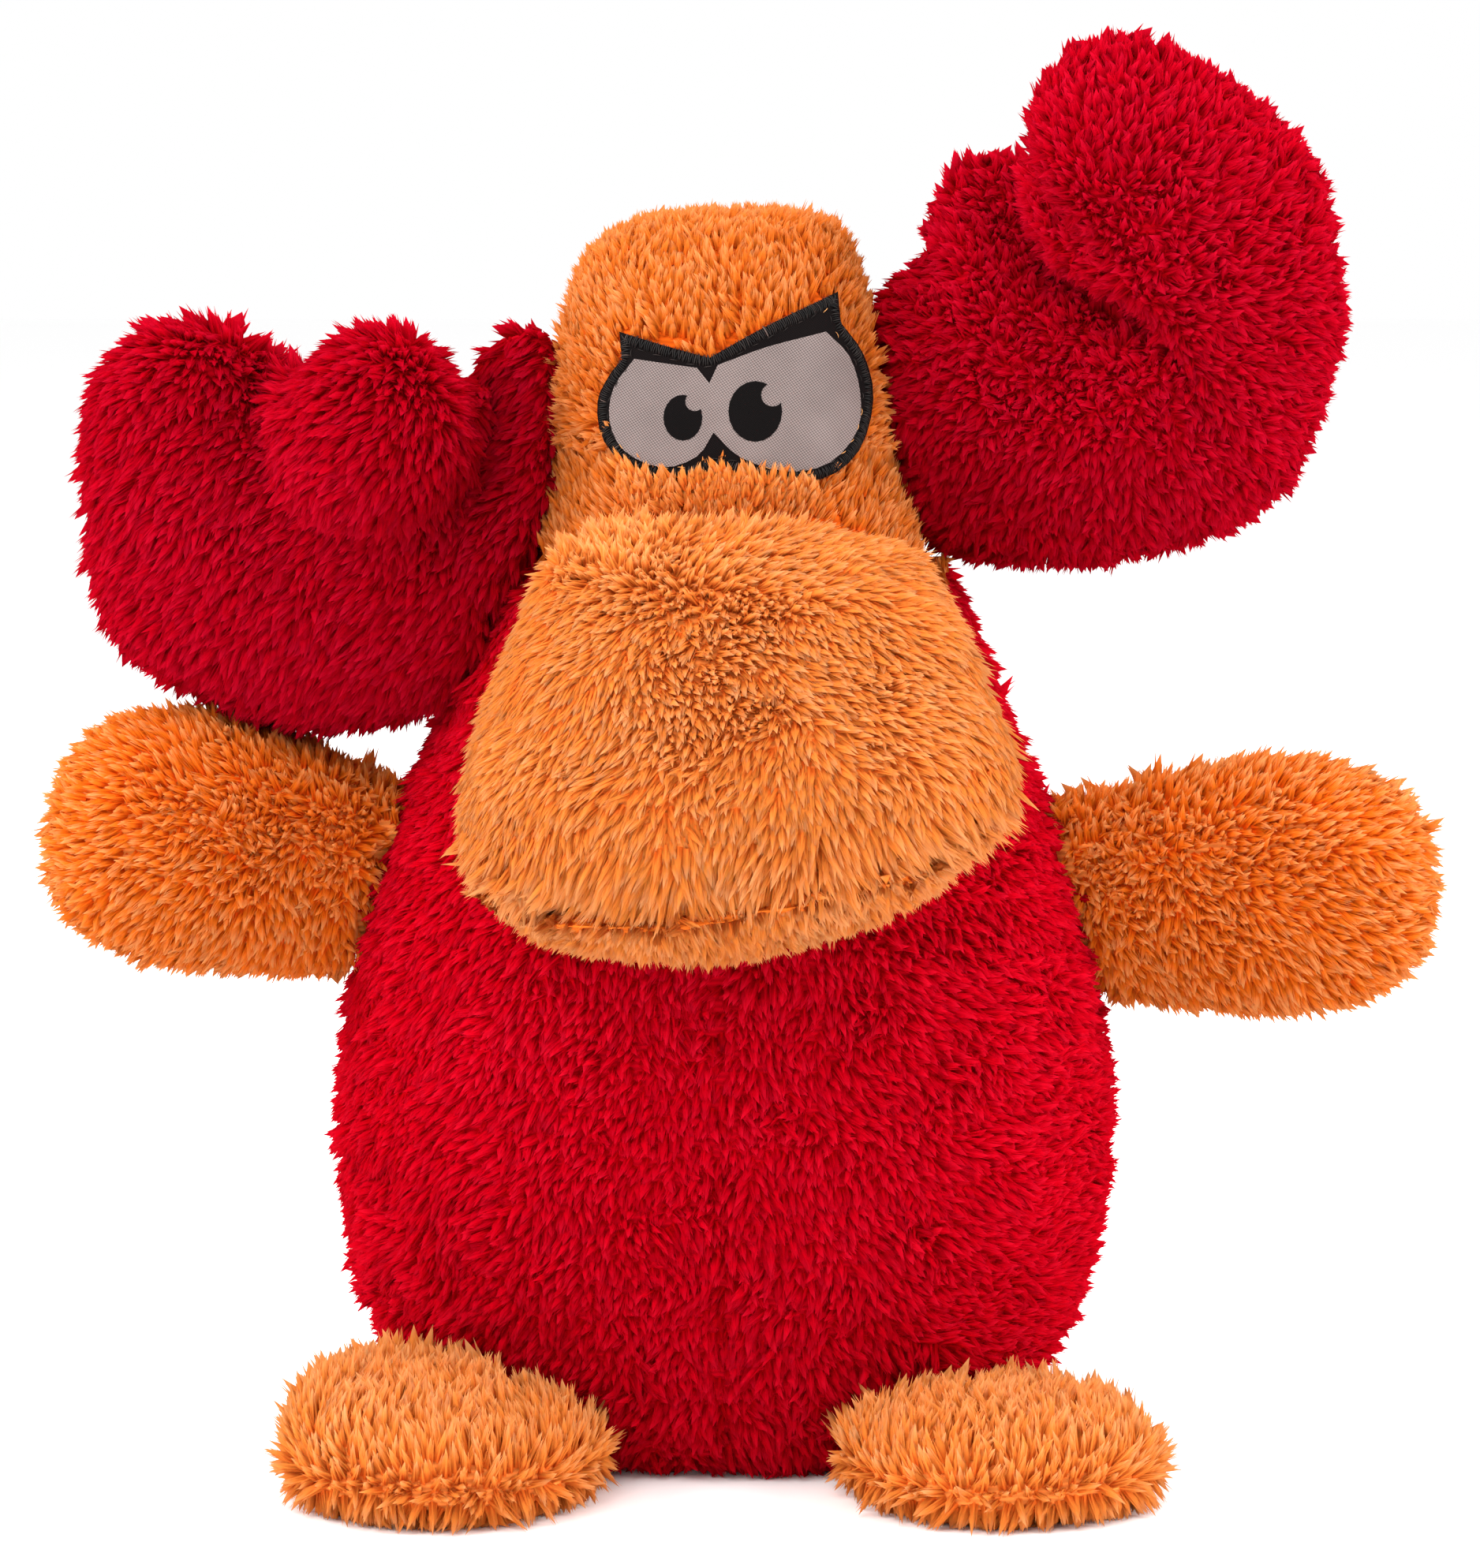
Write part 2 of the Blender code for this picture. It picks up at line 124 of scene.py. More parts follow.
class Wire:
    """A node's output that adds and multiplies. node() puts any other node into the same tree."""

    def __init__(self, tree, socket=None):
        self.tree = tree
        self.socket = socket

    def feed(self, value, place):
        if isinstance(value, Wire):
            self.tree.links.new(value.socket, place)
        elif isinstance(value, str) or not hasattr(place.default_value, "__len__"):
            place.default_value = value
        elif isinstance(value, (int, float)):
            place.default_value = [value] * len(place.default_value)
        else:
            place.default_value = (*value, 1.0)[: len(place.default_value)]

    def node(self, kind, settings=(), out=None, **values):
        made = self.tree.nodes.new(kind)
        for setting, value in dict(settings).items():
            setattr(made, setting, value)
        for name, value in values.items():
            place = next(s for s in made.inputs if s.enabled and s.name.replace(" ", "_") == name)
            self.feed(value, place)
        shown = [s for s in made.outputs if s.enabled and out in (None, s.name)]
        return Wire(self.tree, shown[0] if shown else None)

    def other(self, name):
        """Another output of the same node."""
        return Wire(self.tree, next(s for s in self.socket.node.outputs if s.enabled and s.name == name))

    def maths(self, operation, *values):
        values = (self, *values)
        wide = any(isinstance(v, tuple) for v in values)
        wide |= any(isinstance(v, Wire) and v.socket.type in ("VECTOR", "RGBA") for v in values)
        made = self.tree.nodes.new("ShaderNodeVectorMath" if wide else "ShaderNodeMath")
        made.operation = operation
        for value, place in zip(values, made.inputs):
            self.feed(value, place)
        return Wire(self.tree, next(s for s in made.outputs if s.enabled))

    def __add__(self, other):
        return self.maths("ADD", other)

    __radd__ = __add__

    def __sub__(self, other):
        return self.maths("SUBTRACT", other)

    def __rsub__(self, other):
        return (self * -1.0) + other

    def __mul__(self, other):
        return self.maths("MULTIPLY", other)

    __rmul__ = __mul__

    def part(self, axis):
        return self.node("ShaderNodeSeparateXYZ", out=axis, Vector=self)

    def between(self, low, high):
        """0 below low, 1 above high and smooth between them."""
        smooth = {"interpolation_type": "SMOOTHSTEP"}
        return self.node("ShaderNodeMapRange", smooth, Value=self, From_Min=low, From_Max=high)

    def mix(self, first, second):
        """The first colour where this is 0 and the second where it is 1."""
        return self.node("ShaderNodeMix", {"data_type": "RGBA"}, Factor=self, A=first, B=second)


def dress(material):
    """The material's empty tree with its Principled node, as (start of the wires, Principled node)."""
    material.use_nodes = True
    return Wire(material.node_tree), material.node_tree.nodes["Principled BSDF"]


fibres_round_lock = 26.0
backlit_share = 0.62


def pile_material(name, shaded_root, middle, pale, glowing=1.0):
    """Locks of fibres, each a little unlike the next. The dark colour at the root is painted shade deep among
    the locks, and the pale colour at the tip is a painted highlight where the tips catch the light. Light
    passes through them in a colour between middle and pale, which glowing sets."""
    material = bpy.data.materials.new(name)
    root, shader = dress(material)
    lock = root.node("ShaderNodeUVMap", {"uv_map": "lock"})
    around, along = lock.part("X"), lock.part("Y")
    tint = root.node("ShaderNodeAttribute", {"attribute_name": "tint"}, out="Fac")
    place = root.node("ShaderNodeTexCoord", out="Object")
    turned = around * fibres_round_lock + tint * 311.0
    spread = root.node("ShaderNodeCombineXYZ", X=turned, Y=along * 2.6, Z=tint * 97.0)
    fibre = root.node("ShaderNodeTexNoise", Vector=spread, Scale=1.0, Detail=2.0, Roughness=0.6)
    drift = root.node("ShaderNodeTexNoise", Vector=place, Scale=42.0, Detail=2.0)
    height = along + (fibre - 0.5) * 0.5 + (tint - 0.5) * 0.25 + (drift - 0.5) * 0.35
    # Painted shade at the root of each lock, and a painted highlight towards its tip.
    body = height.between(-0.05, 0.50).mix(shaded_root, middle)
    colour = height.between(0.50, 1.15).mix(body, pale)
    root.feed(colour, shader.inputs["Base Color"])
    stand = root.node("ShaderNodeAttribute", {"attribute_name": "stand"}, out="Vector")
    facing = root.node("ShaderNodeNewGeometry", out="Normal")
    root.feed((facing * 0.35 + stand * 0.65).maths("NORMALIZE"), shader.inputs["Normal"])
    shader.inputs["Roughness"].default_value = 0.9
    shader.inputs["Specular IOR Level"].default_value = 0.02
    shader.inputs["Sheen Weight"].default_value = 0.08
    shader.inputs["Sheen Roughness"].default_value = 0.5
    shader.inputs["Sheen Tint"].default_value = (*pale, 1.0)
    glow = tuple(m + glowing * (p - m) for m, p in zip(middle, pale))
    through = root.node("ShaderNodeBsdfTranslucent", Color=glow)
    both = root.node("ShaderNodeMixShader", Fac=backlit_share)
    root.tree.links.new(shader.outputs[0], both.socket.node.inputs[1])
    root.tree.links.new(through.socket, both.socket.node.inputs[2])
    root.tree.links.new(both.socket, root.tree.nodes["Material Output"].inputs["Surface"])
    return material


def backing_material(name, colour):
    """The knitted backing between the locks, in rows of fine loops."""
    material = bpy.data.materials.new(name)
    root, shader = dress(material)
    place = root.node("ShaderNodeTexCoord", out="Object")
    rows = root.node("ShaderNodeTexWave", {"bands_direction": "Z"}, Vector=place, Scale=260.0, Distortion=1.5)
    shade = rows.mix(tuple(0.7 * c for c in colour), colour)
    root.feed(shade, shader.inputs["Base Color"])
    loops = root.node("ShaderNodeBump", Strength=0.5, Distance=0.0003, Height=rows)
    root.feed(loops, shader.inputs["Normal"])
    shader.inputs["Roughness"].default_value = 0.95
    shader.inputs["Specular IOR Level"].default_value = 0.03
    return material


def lock_mesh(name, strands):
    """One lock of pile, one unit tall and wide, with its root at the origin and its tip bent towards +X.
    Each strand is a start, a lean, a bend, a sway, a width and a height."""
    points, faces, around, along = [], [], [], []
    for (start_x, start_y), lean, bend, sway, girth, tall in strands:
        bands = ((0.0, 0.85), (0.5, 1.0)) if bend else ((0.0, 1.0),)
        first = len(points)
        for share, fatness in (*bands, (1.0, 0.0)):
            x = start_x + lean * share + bend * share * share
            y = start_y + sway * math.sin(2.6 * share)
            sides = 3 if fatness else 1
            for side in range(sides):
                turn = 2.0 * math.pi * side / 3.0 + 0.5 * share
                reach = 0.5 * girth * fatness
                points.append((x + reach * math.cos(turn), y + reach * math.sin(turn), tall * share))
        for band in range(len(bands)):
            low = first + 3 * band
            for side in range(3):
                after = (side + 1) % 3
                near, far = bands[band][0], (*bands, (1.0, 0.0))[band + 1][0]
                if band + 1 < len(bands):
                    faces.append((low + side, low + after, low + 3 + after, low + 3 + side))
                    around += [side / 3, (side + 1) / 3, (side + 1) / 3, side / 3]
                    along += [near, near, far, far]
                else:
                    faces.append((low + side, low + after, low + 3))
                    around += [side / 3, (side + 1) / 3, (side + 0.5) / 3]
                    along += [near, near, far]
    mesh = bpy.data.meshes.new(name)
    mesh.from_pydata(points, [], faces)
    mesh.uv_layers.new(name="lock").data.foreach_set("uv", np.column_stack((around, along)).ravel())
    mesh.shade_smooth()
    return mesh


def lock_shapes():
    """Eight locks unlike each other, as a collection that the pile picks from."""
    chance = np.random.default_rng(11)
    shapes = bpy.data.collections.new("locks")
    for count in range(8):
        bend, sway, girth = chance.uniform(0.25, 0.7), chance.uniform(-0.2, 0.2), chance.uniform(0.75, 0.95)
        strands = [((0.0, 0.0), 0.10, bend, sway, girth, 1.0)]
        for turn in range(4):
            way = (turn + chance.uniform(-0.3, 0.3)) * math.pi / 2.0
            start = 0.34 * np.array((math.cos(way), math.sin(way)))
            lean = chance.uniform(0.1, 0.7) - 0.3 * start[0]
            sway = chance.uniform(-0.15, 0.15) - 0.25 * start[1]
            strands.append((start, lean, 0.0, sway, chance.uniform(0.3, 0.42), chance.uniform(0.75, 1.12)))
        shapes.objects.link(bpy.data.objects.new(f"lock {count}", lock_mesh(f"lock {count}", strands)))
    return shapes


def empty_tree(name, inputs):
    """A geometry node tree with these inputs, as (tree, start of the wires, wires of the inputs)."""
    tree = bpy.data.node_groups.new(name, "GeometryNodeTree")
    for socket, kind in inputs.items():
        tree.interface.new_socket(socket, in_out="INPUT", socket_type="NodeSocket" + kind)
    tree.interface.new_socket("Geometry", in_out="OUTPUT", socket_type="NodeSocketGeometry")
    root = Wire(tree)
    given = root.node("NodeGroupInput")
    return tree, root, {socket: given.other(socket) for socket in inputs}


lowest_fibre = 0.0002
row_grain = (55.0, 55.0, 290.0)


def pile_tree():
    """Geometry nodes that set a lock on each free spot of a skin, leaning as the skin's own comb says."""
    inputs = {
        "Geometry": "Geometry", "Locks": "Collection", "Fabric": "Material", "Spacing": "Float",
        "Length": "Float", "Width": "Float", "Rise": "Float", "Rows": "Float", "Scatter": "Float",
        "Swirl": "Float", "Whorl": "Float", "Seed": "Int",
    }
    tree, root, given = empty_tree("pile", inputs)

    def stored(name, kind="FLOAT"):
        return root.node("GeometryNodeInputNamedAttribute", {"data_type": kind}, out="Attribute", Name=name)

    def chance(low, high, seed, kind="FLOAT"):
        seed = given["Seed"] + seed
        return root.node("FunctionNodeRandomValue", {"data_type": kind}, Min=low, Max=high, Seed=seed)

    spots = root.node(
        "GeometryNodeDistributePointsOnFaces",
        {"distribute_method": "POISSON"},
        Mesh=given["Geometry"],
        Distance_Min=given["Spacing"],
        Density_Max=given["Spacing"].maths("POWER", -2.0) * 5.0,
        Density_Factor=stored("cover"),
        Seed=given["Seed"],
    )
    comb = stored("comb", "FLOAT_VECTOR")
    place = root.node("GeometryNodeInputPosition")
    wave = root.node("ShaderNodeTexNoise", out="Color", Vector=place, Scale=given["Whorl"], Detail=1.0) - 0.5
    lie = comb + wave * given["Swirl"]
    loose = chance((-1.0, -1.0, -1.0), (1.0, 1.0, 1.0), 1, "FLOAT_VECTOR") * given["Scatter"]
    upright = root.node(
        "FunctionNodeAlignRotationToVector",
        {"axis": "Z"},
        Vector=spots.other("Normal") * given["Rise"] + lie + loose,
    )
    turned = root.node(
        "FunctionNodeAlignRotationToVector",
        {"axis": "X", "pivot_axis": "Z"},
        Rotation=upright,
        Vector=lie + loose,
    )
    width = given["Width"] * chance(0.75, 1.2, 2)
    rows = root.node("ShaderNodeTexNoise", Vector=place * row_grain, Scale=1.0, Detail=1.0) - 0.5
    length = given["Length"] * chance(0.75, 1.2, 3) * stored("reach") * (rows * given["Rows"] + 1.0)
    set_on = root.node(
        "GeometryNodeInstanceOnPoints",
        Points=spots,
        Instance=root.node(
            "GeometryNodeCollectionInfo",
            Collection=given["Locks"],
            Separate_Children=True,
            Reset_Children=True,
        ),
        Pick_Instance=True,
        Instance_Index=chance(0, 7, 4, "INT"),
        Rotation=turned,
        Scale=root.node("ShaderNodeCombineXYZ", X=width, Y=width, Z=length),
    )
    told = root.node(
        "GeometryNodeStoreNamedAttribute",
        {"data_type": "FLOAT", "domain": "INSTANCE"},
        Geometry=set_on,
        Name="tint",
        Value=chance(0.0, 1.0, 5),
    )
    told = root.node(
        "GeometryNodeStoreNamedAttribute",
        {"data_type": "FLOAT_VECTOR", "domain": "INSTANCE"},
        Geometry=told,
        Name="stand",
        Value=spots.other("Normal"),
    )
    real = root.node("GeometryNodeRealizeInstances", Geometry=told)
    above = root.node(
        "ShaderNodeCombineXYZ",
        X=place.part("X"),
        Y=place.part("Y"),
        Z=place.part("Z").maths("MAXIMUM", lowest_fibre),
    )
    stood = root.node("GeometryNodeSetPosition", Geometry=real, Position=above)
    done = root.node("GeometryNodeSetMaterial", Geometry=stood, Material=given["Fabric"])
    tree.links.new(done.socket, tree.nodes.new("NodeGroupOutput").inputs[0])
    return tree


locks = lock_shapes()
growing = pile_tree()


def settle(piece):
    """The piece's mesh as its modifiers leave it."""
    mesh = bpy.data.meshes.new_from_object(piece.evaluated_get(bpy.context.evaluated_depsgraph_get()))
    piece.modifiers.clear()
    piece.data = mesh


def work_in(piece, tree, values):
    """Lets a node tree work on a piece with these values, and keeps what comes out."""
    worked = piece.modifiers.new(tree.name, "NODES")
    worked.node_group = tree
    for socket in tree.interface.items_tree:
        if socket.in_out == "INPUT" and socket.name in values:
            worked[socket.identifier] = values[socket.name]
    settle(piece)


def at_vertices(mesh, value="co"):
    """The places of a mesh's vertices, or their normals."""
    found = np.empty(3 * len(mesh.vertices))
    mesh.vertices.foreach_get(value, found)
    return found.reshape(-1, 3)


filling_pressure = 4.0
filling_steps = 20
most_swelling = 0.0018


def blown_up(node, cell, fine):
    """The bag of a CAD node as one skin of even cells, pressed out from inside as cloth. fine halves the
    cells after that."""
    bag = bpy.data.objects.new(node + "_skin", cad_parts[node].data.copy())
    bpy.context.collection.objects.link(bag)
    work = bmesh.new()
    work.from_mesh(bag.data)
    bmesh.ops.remove_doubles(work, verts=work.verts, dist=1e-5)
    work.to_mesh(bag.data)
    work.free()
    cells = bag.modifiers.new("even cells", "REMESH")
    cells.mode = "VOXEL"
    cells.voxel_size = cell
    settle(bag)
    slack = at_vertices(bag.data)
    scene = bpy.context.scene
    filling = bag.modifiers.new("filling", "CLOTH")
    filling.settings.use_pressure = True
    filling.settings.uniform_pressure_force = filling_pressure
    filling.settings.effector_weights.gravity = 0.0
    filling.point_cache.frame_start, filling.point_cache.frame_end = 1, filling_steps
    for step in range(1, filling_steps + 1):
        scene.frame_set(step)
    settle(bag)
    moved = at_vertices(bag.data) - slack
    far = np.linalg.norm(moved, axis=1, keepdims=True)
    tight = slack + moved * np.minimum(1.0, most_swelling / np.maximum(far, 1e-9))
    bag.data.vertices.foreach_set("co", tight.ravel())
    scene.frame_set(1)
    if fine:
        rounder = bag.modifiers.new("rounder", "SUBSURF")
        rounder.levels = rounder.render_levels = 1
        settle(bag)
    bag.data.shade_smooth()
    return bag


def neighbours(node):
    """The CAD solids beside this one, as a tree to cast rays at."""
    points, faces = [], []
    for name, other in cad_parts.items():
        if name != node:
            faces += [tuple(len(points) + v for v in face.vertices) for face in other.data.polygons]
            points += [v.co[:] for v in other.data.vertices]
    return BVHTree.FromPolygons(points, faces)


ray_start = -0.0025
open_air = 0.012


def clearance(around, place, normal):
    """How far out from a place the next solid begins. The ray starts inside the bag, as its skin may press
    into that solid, and passes what it only leaves."""
    gone = ray_start
    while gone < open_air:
        _, facing, _, far = around.ray_cast(place + gone * normal, normal, open_air - gone)
        if far is None:
            return open_air
        gone += far
        if facing.dot(normal) < 0.0:
            return max(gone, 0.0)
        gone += 1e-5
    return open_air


def grow_pile(name, ground, fabric, lock, coarse, seed):
    """The pile on a mesh that carries comb, cover and reach. coarse makes the locks fewer and thicker."""
    pile = bpy.data.objects.new(name, ground)
    bpy.context.collection.objects.link(pile)
    values = {
        "Locks": locks,
        "Fabric": fabric,
        "Spacing": coarse * lock["spacing"],
        "Length": coarse**0.4 * lock["length"],
        "Width": coarse * lock["width"],
        "Rise": lock["rise"],
        "Rows": lock.get("rows", 0.5),
        "Scatter": lock["scatter"],
        "Swirl": lock["swirl"],
        "Whorl": lock["whorl"],
        "Seed": seed,
    }
    work_in(pile, growing, values)
    return pile


def comb_ground(mesh, lie, cover, reach):
    """Stores on a mesh how its pile lies, where it stands and how long it is."""
    mesh.attributes.new("comb", "FLOAT_VECTOR", "POINT").data.foreach_set("vector", lie.ravel())
    mesh.attributes.new("cover", "FLOAT", "POINT").data.foreach_set("value", cover)
    mesh.attributes.new("reach", "FLOAT", "POINT").data.foreach_set("value", reach)


sewn_gap = 0.0012
pile_starts, pile_thickens = 0.0009, 0.0008
skin_foot = 0.0012
off_skin, deepest = 0.0004, 0.1
back_from = 0.15
coarse_back = 1.8


def everywhere(places, normals):
    return np.ones(len(places))


def nowhere(places, normals):
    return np.zeros(len(places), bool)


def stuffed(
    node, fabric, backing, lock, comb, reach=everywhere, sunk=0.0022, cell=0.0045, seed=1, open_at=nowhere,
    shape=None, halves=False, hollow_at=None, touching=0.4,
):
    """A stuffed bag: its skin, set in by the depth of the pile, and the pile on it. comb gives the way the
    pile lies from places and normals, and reach its length at each place. open_at says where pile stands
    beside a near piece. shape moves the skin's places first. Where the bag is sewn to another it is set in by
    the share touching of that depth, apart from where hollow_at holds. The pile of the back is another piece,
    of fewer and thicker locks, and halves splits the front's pile at the middle."""
    bag = blown_up(node, cell, shape is not None or hollow_at is not None)
    places, normals = at_vertices(bag.data), at_vertices(bag.data, "normal")
    if shape is not None:
        walls = BVHTree.FromPolygons(places.tolist(), [face.vertices[:] for face in bag.data.polygons])
        room = np.full(len(places), deepest)
        for count, place in enumerate(places):
            inner = Vector(place) + Vector((0.0, off_skin, 0.0))
            far = walls.ray_cast(inner, Vector((0.0, 1.0, 0.0)), deepest)[3]
            if far is not None:
                room[count] = far
        bag.data.vertices.foreach_set("co", shape(places, normals, room).ravel())
        bag.data.update()
        places, normals = at_vertices(bag.data), at_vertices(bag.data, "normal")
    around = neighbours(node)
    free = np.empty(len(places))
    for count, (place, normal) in enumerate(zip(places, normals)):
        free[count] = clearance(around, Vector(place), Vector(normal))
    free[open_at(places, normals)] = open_air
    tight = free < sewn_gap
    if hollow_at is not None:
        tight &= ~hollow_at(places)
    places = places - normals * sunk * np.where(tight[:, None], touching, 1.0)
    places[:, 2] = np.maximum(places[:, 2], skin_foot)
    bag.data.vertices.foreach_set("co", places.ravel())
    lie = comb(places, normals)
    lie -= normals * (lie * normals).sum(1, keepdims=True)
    comb_ground(bag.data, lie, np.zeros(len(places)), reach(places, normals))
    bag.data.materials.clear()
    bag.data.materials.append(backing)
    bag.data.update()
    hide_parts(node)
    behind = normals[:, 1] > back_from
    cover = np.clip((free - pile_starts) / pile_thickens, 0.0, 1.0)
    sides = [("_front_pile", ~behind, 1.0), ("_back_pile", behind, coarse_back)]
    if halves:
        right = places[:, 0] < 0.0
        sides[:1] = [("_front_right_pile", ~behind & right, 1.0), ("_front_left_pile", ~behind & ~right, 1.0)]
    for name, side, coarse in sides:
        ground = bag.data.copy()
        ground.attributes["cover"].data.foreach_set("value", cover * side)
        grow_pile(node + name, ground, fabric, lock, coarse, seed).parent = bag
    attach(bag, "root")
    return bag


def torso_comb(places, normals):
    x, y, z = places.T
    sideways = 13.0 * np.sign(x) * np.maximum(np.abs(x) - 0.015, 0.0)
    return np.column_stack((sideways, 4.0 * y, -0.42 + 9.0 * np.maximum(x - 0.02, 0.0)))


red_pile = pile_material("red pile", **torso_red)
red_backing_shaded = backing_material("red backing shaded", red_ground_shaded)
stuffed(
    "torso", red_pile, red_backing_shaded, torso_lock, torso_comb, sunk=torso_sunk, seed=1, cell=torso_cell,
    halves=True,
)

# Antlers
# Two flat bags of the same red fabric, each of two panels with three lobes, stuffed lightly and sewn to the
# head. A fold runs down from the notch between two lobes, where one of them lies over the next.
# The torso's red painted darker as painted shade on the antlers. Its root colour is painted shade among the
# locks, and its pale tip colour is a painted highlight.
antler_red_shaded = {"shaded_root": (0.40, 0.0, 0.004), "middle": (0.57, 0.0, 0.013), "pale": (0.76, 0.006, 0.042)}
right_antler_lock = {
    "length": 0.0052, "width": 0.0023, "spacing": 0.0013, "rise": 0.75, "scatter": 0.24, "swirl": 0.9,
    "whorl": 60.0,
}
left_antler_lock = {
    "length": 0.0038, "width": 0.0023, "spacing": 0.0013, "rise": 0.90, "scatter": 0.36, "swirl": 1.1,
    "whorl": 130.0,
}
antler_cell = 0.0034
left_middle = (0.072, 0.225)
right_fold = [
    (-0.0857, 0.2214), (-0.0852, 0.2048), (-0.0837, 0.1968), (-0.0819, 0.1917), (-0.0777, 0.1882),
    (-0.0675, 0.1856), (-0.0587, 0.1889), (-0.0504, 0.1937), (-0.0478, 0.2048), (-0.0471, 0.2137),
]
left_fold = [
    (0.0585, 0.2705), (0.0588, 0.2582), (0.0595, 0.2465), (0.0619, 0.2390), (0.0660, 0.2329),
    (0.0753, 0.2292), (0.0817, 0.2252), (0.0875, 0.2160),
]


def right_antler_comb(places, normals):
    return np.tile((-0.35, 0.0, -0.55), (len(places), 1))


def left_antler_comb(places, normals):
    x, y, z = places.T
    return np.column_stack((14.0 * (x - left_middle[0]), 0.0 * y, 14.0 * (z - left_middle[1])))


def folded(edge, raised, pressed, soft, fading=0.0):
    """Moves the front of a bag at a fold. On the left of the fold's edge, a line of (x, z) places, the front
    rises, and on the right it sinks. fading is how much less it moves near the ends of the edge."""

    def shape(places, normals, room):
        nearest, side, strong = np.full(len(places), 1.0), np.zeros(len(places)), np.ones(len(places))
        for count, (start, end) in enumerate(zip(np.array(edge), np.array(edge)[1:])):
            way, there = end - start, places[:, (0, 2)] - start
            share = np.clip(there @ way / (way @ way), 0.0, 1.0)
            far = np.linalg.norm(there - share[:, None] * way, axis=1)
            turn = way[0] * there[:, 1] - way[1] * there[:, 0]
            side = np.where(far < nearest, np.sign(turn), side)
            along = np.minimum(2.2 * np.sin(math.pi * (count + share) / (len(edge) - 1)), 1.0)
            strong = np.where(far < nearest, 1.0 - fading * (1.0 - along), strong)
            nearest = np.minimum(far, nearest)
        rise, sink = -raised * np.exp(-nearest / (2.0 * soft)), pressed * np.exp(-nearest / soft)
        depth = np.where(side > 0.0, rise, sink)
        moved = places.copy()
        moved[:, 1] += np.minimum(strong * depth * np.clip(-1.6 * normals[:, 1], 0.0, 1.0), 0.45 * room)
        return moved

    return shape


antler_pile_shaded = pile_material("antler red pile painted darker", **antler_red_shaded)
stuffed(
    "right_antler", antler_pile_shaded, red_backing_shaded, right_antler_lock, right_antler_comb, seed=21, sunk=-0.0008,
    shape=folded(right_fold, raised=0.0040, pressed=0.0080, soft=0.006), cell=antler_cell,
)
stuffed(
    "left_antler", antler_pile_shaded, red_backing_shaded, left_antler_lock, left_antler_comb, seed=31, sunk=0.0003,
    shape=folded(left_fold, raised=0.0060, pressed=0.0200, soft=0.011, fading=0.8), cell=antler_cell,
)

# Head
# A tall bag of the same pile fabric in orange, stuffed and sewn to the torso's neck. Its pile is brushed
# outwards, and up above and below the eyes.
# The head's orange is toned down as painted shade, for a head that is less lit. Its root colour is painted
# shade among the locks, and its pale tip colour is a painted highlight.
orange = {"shaded_root": (0.82, 0.11, 0.006), "middle": (0.86, 0.22, 0.020), "pale": (0.92, 0.45, 0.17)}
head_lock = {
    "length": 0.0042, "width": 0.0019, "spacing": 0.00115, "rise": 0.70, "scatter": 0.26, "swirl": 1.1,
    "whorl": 90.0,
}
# Darker than the head's pile: painted shade for the backing seen between the locks.
head_ground_shaded = (0.70, 0.10, 0.006)
head_middle = 0.0025
eyes_low, eyes_high = 0.197, 0.205


def head_comb(places, normals):
    x, y, z = places.T
    up = np.where(z < eyes_low, 0.8, 0.1 + 30.0 * (z - eyes_high))
    return np.column_stack((12.0 * (x - head_middle), 2.0 * y, np.clip(up, 0.0, 0.7)))


def head_reach(places, normals):
    """Longer pile in the strip just under the patch."""
    x, y, z = places.T
    under_patch = (z > 0.186) & (z < 0.1945) & (x > -0.022) & (x < 0.019) & (y < -0.02)
    return np.where(under_patch, 1.2, 1.0)


head_pile_shaded = pile_material("orange pile", **orange, glowing=0.75)
head_backing_shaded = backing_material("orange backing", head_ground_shaded)
stuffed("head", head_pile_shaded, head_backing_shaded, head_lock, head_comb, head_reach, seed=41, cell=0.003)

# Muzzle and lower lip
# The snout is one broad drooping bag sewn under the eyes, and the lip a thinner one sewn behind it, so that
# the mouth is the fold between them. The pile is brushed out from the middle, and aside at the top.
# Root colour: painted shade among the locks. Pale tip colour: painted highlight.
pale_orange = {"shaded_root": (1.0, 0.20, 0.022), "middle": (1.0, 0.33, 0.052), "pale": (1.0, 0.56, 0.25)}
muzzle_lock = {
    "length": 0.0048, "width": 0.0018, "spacing": 0.00115, "rise": 0.60, "scatter": 0.24, "swirl": 1.7,
    "whorl": 60.0,
}
pale_ground = (1.0, 0.30, 0.06)
# Darker than pale_ground: painted shade for the lip's backing in the mouth's fold.
crease_shade_ground = (0.78, 0.17, 0.018)
snout_middle, snout_crest = 0.004, 0.174
mouth_top = 0.140
lip_middle, lip_corner = 0.003, 0.038


def muzzle_comb(places, normals):
    x, y, z = places.T
    down = np.where(z < snout_crest, -0.75, np.minimum(-0.75 + 120.0 * (z - snout_crest), 0.45))
    swept = 0.50 * np.clip((z - 0.160) / 0.020, 0.0, 1.0)
    return np.column_stack((13.0 * (x - snout_middle) + swept, 0.0 * y, down))


def muzzle_reach(places, normals):
    """Longer pile on the snout's rim, which hangs into the mouth."""
    rim = (normals[:, 2] < -0.2) & (places[:, 1] < -0.070) & (places[:, 2] < mouth_top)
    return np.where(rim, 1.6, 1.0)


def over_mouth(places, normals):
    return (places[:, 1] < -0.073) & (places[:, 2] < 0.135) & (normals[:, 1] < -0.08)


def inside_mouth(places):
    return (places[:, 1] < -0.060) & (places[:, 2] < mouth_top)


def jaw_comb(places, normals):
    x, y, z = places.T
    above = np.clip(2.0 * normals[:, 2], 0.0, 1.0)
    return np.column_stack((10.0 * x, -0.9 * above, -0.5 + 0.3 * above))


